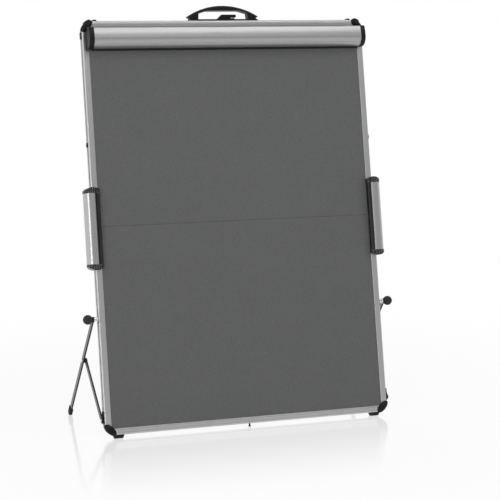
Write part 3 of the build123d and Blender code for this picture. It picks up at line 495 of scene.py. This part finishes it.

# %% [markdown]
# The black pieces are plastic and rubber. Photographed black is dark grey, so the colours stay a little
# above zero. One black would make them look cut from the same block, and on the real board they differ: the
# grips shine, the ball knobs are duller, and rubber is rougher and takes more dust than plastic. The fluted
# caps get a painted highlight: the edge of each flute is coloured light grey, for the bright streaks that
# the flutes catch.

# %% The plastics and the rubber
tint = 0.0002
grip_black = (grey(0.005, tint), grey(0.010, tint))
black_plastic = moulded(
    "black_plastic",
    grey(0.004, tint),
    grey(0.009, tint),
    rough=0.36,
    relief=1e-5,
    dust_amount=0.03,
    gloss=0.15,
)
latch_plastic = moulded(
    "latch_plastic",
    grey(0.004, tint),
    grey(0.008, tint),
    rough=0.42,
    relief=1e-5,
    dust_amount=0.03,
    gloss=0.12,
)
grip_plastic = moulded("grip_plastic", *grip_black, rough=0.26, relief=6e-6, dust_amount=0.03, gloss=0.45)
# The light grey along the flute edges of the caps is a painted highlight, not wear.
cap_plastic = moulded(
    "grip_cap_plastic",
    *grip_black,
    rough=0.24,
    relief=6e-6,
    wear_and_highlight_colour=grey(0.46),
    wear_and_highlight_share=1.6,
    dust_amount=0.03,
    edge=0.0008,
)
knob_plastic = moulded(
    "knob_plastic",
    grey(0.010, tint),
    grey(0.018, tint),
    rough=0.44,
    relief=1.2e-5,
    fineness=1300.0,
    dust_amount=0.04,
    gloss=0.3,
)
black_rubber = moulded(
    "black_rubber",
    grey(0.008),
    grey(0.014),
    rough=0.62,
    relief=2e-5,
    fineness=1000.0,
    dust_amount=0.06,
    gloss=0.2,
)

# %% [markdown]
# The back of the board is a thin grey plastic skin, and between skin and felt lies brown core board. The
# core is out of sight, but it gets a coarse grain and a deep relief like pressed fibre, so that it also
# looks right when the board is taken apart.

# %% The back skin and the core board
back_plastic = moulded(
    "back_skin_grey",
    (0.150, 0.153, 0.157),
    (0.170, 0.173, 0.177),
    rough=0.55,
    relief=2e-5,
    fineness=700.0,
    wear_and_highlight_colour=grey(0.4),
    wear_and_highlight_share=0.2,
)
core_board = moulded(
    "core_board_brown",
    (0.36, 0.25, 0.15),
    (0.46, 0.33, 0.21),
    rough=0.85,
    relief=8e-5,
    fineness=260.0,
    wear_and_highlight_colour=(0.55, 0.43, 0.3),
    wear_and_highlight_share=0.2,
)

# %% [markdown]
# Felt scatters light from its loose fibres, which sheen copies. A separate sheen shader could do it too,
# but the exported model keeps only what the Principled shader has. The tone of the felt is kept within a
# narrow range, because from a few metres the face looks almost even.


# %% The felt
def make_felt(name, dark, light):
    """Grey felt with a faint weave and specks."""
    material, tree, shader = new_material(name)
    fibres = use_group(tree, felt_fibres, Turn=along_board)
    edges = use_group(tree, edge_wear_and_highlight, Radius=0.0006, Amount=0.15)
    dust = use_group(tree, settled_dust, Amount=0.12, Scale=350.0)
    colour = blend_colours(tree, dark, light, fibres["Tone"])
    fuzzy = blend_colours(tree, colour, grey(0.2), edges["Mask"])
    dusty = blend_colours(tree, fuzzy, (0.22, 0.215, 0.21), dust["Mask"])
    roughness = remap(tree, fibres["Tone"], low=0.88, high=0.98)
    normal = bump(tree, fibres["Height"], 1.2e-4, edges["Normal"])
    set_inputs(tree, shader, Base_Color=dusty, Roughness=roughness, Normal=normal)
    set_inputs(tree, shader, Specular_IOR_Level=0.15, Sheen_Weight=0.25, Sheen_Roughness=0.5)
    print("felt:", name)
    return material


felt = make_felt("grey_felt", dark=(0.051, 0.0515, 0.053), light=(0.140, 0.141, 0.143))

# %% [markdown]
# Each CAD piece comes with one material slot, and it gets its finish by filling that slot. The pieces could
# be dressed one by one, but a table from finish to pieces shows at a glance what is made of what, and the
# names that it leaves out are printed at its end.


# %% Give every CAD piece its finish
def pair(piece):
    """The names of a piece's right and left copies."""
    return [f"{piece}_right", f"{piece}_left"]


finishes = [
    (anodised_side, pair("lower_rail") + pair("upper_rail")),
    (anodised_cross, ["bottom_rail", "top_rail"]),
    (clamp_metal, ["clamp_bar"]),
    (shell_metal, pair("grip_shell")),
    (cast_silver, ["lower_corner_blocks", "upper_corner_blocks"]),
    (leg_metal, pair("strut") + pair("leg")),
    (bright_steel, ["lower_hinge_leaves", "upper_hinge_leaves", "hinge_pins"]),
    (bright_steel, ["lower_screws", "upper_screws", "bracket_nuts", "top_slot_nuts", "bracket_rivets"]),
    (bright_steel, ["clamp_pins", "clamp_springs", "latch_pivot"] + pair("elbow_rivet") + pair("bolt_set")),
    (felt, ["lower_felt", "upper_felt"]),
    (core_board, ["lower_core", "upper_core"]),
    (back_plastic, ["lower_back_skin", "upper_back_skin"]),
    (black_rubber, ["rubber_feet", "jaw_strip"] + pair("leg_foot")),
    (knob_plastic, pair("knob")),
    (latch_plastic, ["latch_lever", "keeper_stud"]),
    (grip_plastic, pair("grip_body")),
    (cap_plastic, pair("grip_caps")),
    (black_plastic, ["corner_caps", "handle", "leg_brackets", "top_bumpers", "stop_studs", "side_pads"]),
    (black_plastic, pair("clamp_cap") + pair("clamp_bracket") + pair("elbow_spacer")),
]
finished = set()
for material, names in finishes:
    for name in names:
        nodes[name].data.materials[0] = material
    finished.update(names)
print("finished:", len(finished), "left out:", sorted(set(nodes) - finished))

# %% [markdown]
# ## The room
# A product photograph like this one is taken on a white table in front of white paper. White paint alone
# would look grey under soft light, and more light would bleach the board. So the floor is part paint, which
# keeps a soft shadow, and part glow, which only the camera and mirror images see. The glow grows with the
# distance from the board, until floor and background meet without a line. A mirror coat shows a faint image
# of the board, as a glossy table does, and fades to the front and with distance.


# %% The floor
def seen_directly(tree):
    """1 for camera, glossy and transmission rays, 0 for the rays that only light things."""
    paths = add_node(tree, "ShaderNodeLightPath").outputs
    seen = calculate(tree, "MAXIMUM", paths["Is Camera Ray"], paths["Is Glossy Ray"])
    return calculate(tree, "MAXIMUM", seen, paths["Is Transmission Ray"])


def make_floor_material():
    """Nearly white floor with a soft shadow and a faint mirror image."""
    material, tree, shader = new_material("white_table_top")
    white = (1.0, 1.0, 1.0, 1.0)
    grain = use_group(tree, mould_grain, Fineness=300.0, Patch_Size=3.0)
    paint = blend_colours(tree, grey(0.84), grey(0.86), grain["Patches"])
    set_inputs(tree, shader, Base_Color=paint, Roughness=0.9, Specular_IOR_Level=0.0)
    place = object_place(tree)
    distance = vector_math(tree, "LENGTH", place)["Value"]
    paleness = remap(tree, distance, start=0.2, end=1.8, low=0.90, high=1.0, smooth=True)
    glow_share = calculate(tree, "MULTIPLY", seen_directly(tree), paleness)
    glow = add_node(tree, "ShaderNodeEmission", Color=white, Strength=1.0).outputs[0]
    paper = add_node(tree, "ShaderNodeMixShader", i0=glow_share, i1=shader.outputs[0], i2=glow).outputs[0]
    mirror = add_node(tree, "ShaderNodeBsdfAnisotropic", Color=white, Roughness=0.12).outputs[0]
    depth = add_node(tree, "ShaderNodeSeparateXYZ", Vector=place).outputs["Y"]
    towards_back = remap(tree, depth, start=-0.70, end=-0.12, high=0.24, smooth=True)
    near_board = remap(tree, distance, start=0.55, end=1.3, low=1.0, high=0.0, smooth=True)
    mirror_share = calculate(tree, "MULTIPLY", towards_back, near_board)
    surface = add_node(tree, "ShaderNodeMixShader", i0=mirror_share, i1=paper, i2=mirror).outputs[0]
    set_inputs(tree, tree.nodes["Material Output"], Surface=surface)
    return material


table_half_width = 8.0
table_mesh = bpy.data.meshes.new("table_top")
table_grid = bmesh.new()
bmesh.ops.create_grid(table_grid, x_segments=4, y_segments=4, size=table_half_width)
table_grid.to_mesh(table_mesh)
table_grid.free()
table_top = bpy.data.objects.new("table_top", table_mesh)
bpy.context.scene.collection.objects.link(table_top)
table_mesh.materials.append(make_floor_material())
print("floor:", len(table_mesh.polygons), "faces")

# %% [markdown]
# The world is the background, the light of the room and what metal mirrors, and each needs its own
# strength. The camera sees plain white. The light is half of that, and the lamps add the rest, so that a
# colour renders about as it is written. A studio is bright behind the object and dark at the end where the
# camera stands, so what metal mirrors gets darker to the front. The Light Path node tells the three kinds
# of ray apart.

# %% The world
plain_white = 1.0
room_light = 0.50
dark_end = 0.52
to_the_bright_end = (-0.25, 1.0, 0.0)
world = bpy.data.worlds.new("white_room")
bpy.context.scene.world = world
world.use_nodes = True
sky = world.node_tree
direction = add_node(sky, "ShaderNodeTexCoord").outputs["Generated"]
slope = vector_math(sky, "DOT_PRODUCT", direction, i1=to_the_bright_end)["Value"]
mirrored = remap(sky, slope, start=-0.9, end=0.3, low=dark_end, high=plain_white, smooth=True)
paths = add_node(sky, "ShaderNodeLightPath").outputs
indirect = mix_values(sky, room_light, mirrored, share=paths["Is Glossy Ray"])
clear = calculate(sky, "MAXIMUM", paths["Is Camera Ray"], paths["Is Transmission Ray"])
strength = mix_values(sky, indirect, plain_white, share=clear)
set_inputs(sky, sky.nodes["Background"], Color=(1.0, 1.0, 1.0, 1.0), Strength=strength)
print("world:", world.name)

# %% [markdown]
# A large lamp beside the camera gives most of the light, and a weaker one fills from the right, so that
# hardly any shadow is seen. Metal would show both as glaring spots, so they are left out of mirror images.
# Two narrow ones are there for the metal: a long one above draws the bright band on the clamp bar, and a
# strip on the left draws the streak on the left grip. A lamp shines along its own -Z axis, so it is aimed
# by turning that axis to its target.

# %% The lamps
middle = (0.0, -0.1, 0.5)
clamp_bar_middle = (0.0, -0.1, 0.95)


def soft_lamp(name, place, size, watts, target=middle, mirrored=True):
    """A flat lamp aimed at a target; the camera never sees it, and metal only where mirrored is true."""
    lamp = bpy.data.lights.new(name, "AREA")
    lamp.shape = "RECTANGLE"
    lamp.size, lamp.size_y = size
    lamp.energy = watts
    holder = bpy.data.objects.new(name, lamp)
    holder.location = place
    holder.rotation_euler = (Vector(target) - Vector(place)).to_track_quat("-Z", "Y").to_euler()
    holder.visible_camera = False
    holder.visible_glossy = mirrored
    bpy.context.scene.collection.objects.link(holder)
    return holder


lamps = [
    soft_lamp("main_lamp", place=(-1.9, -4.2, 1.5), size=(2.0, 2.0), watts=62.0, mirrored=False),
    soft_lamp("right_lamp", place=(3.0, -2.2, 1.2), size=(1.2, 2.0), watts=20.0, mirrored=False),
    soft_lamp("band_lamp", place=(0.8, -2.1, 3.0), size=(2.2, 0.6), watts=17.0, target=clamp_bar_middle),
    soft_lamp("left_strip", place=(-2.8, -2.5, 1.1), size=(0.45, 2.6), watts=20.0),
]
print("lamps:", [lamp.name for lamp in lamps])

# %% [markdown]
# The camera stands where the photograph was taken from: about 4 m in front of the board, 1.5 m to the left
# and 1 m above the table, with a long lens that looks down a little. Its place, its two angles and its
# focal length come from the board's edges in the photograph. The focal length and the centre are in pixels
# of that picture, and become millimetres here. The lens doesn't point at the middle of the picture, so it
# is shifted by the difference.

# %% The camera
picture_pixels = 500.0
focal_pixels = 1803.6
centre_pixels = (268.07, 203.34)
turned_right = 0.36258
tilted_down = 0.11382
left_of_board = 1.4644
before_board = 3.97724
above_table = 1.02529
camera_data = bpy.data.cameras.new("photo_camera")
camera_data.sensor_width = 36.0
camera_data.lens = focal_pixels / picture_pixels * camera_data.sensor_width
camera_data.shift_x = 0.5 - centre_pixels[0] / picture_pixels
camera_data.shift_y = centre_pixels[1] / picture_pixels - 0.5
camera_data.clip_end = 100.0
camera = bpy.data.objects.new("photo_camera", camera_data)
camera.location = (-left_of_board, board_foot.y - before_board, above_table)
camera.rotation_euler = (pi / 2 - tilted_down, 0.0, -turned_right)
bpy.context.scene.collection.objects.link(camera)
bpy.context.scene.camera = camera
bpy.context.scene.view_settings.view_transform = "Standard"
print("lens in mm:", round(camera_data.lens, 1))
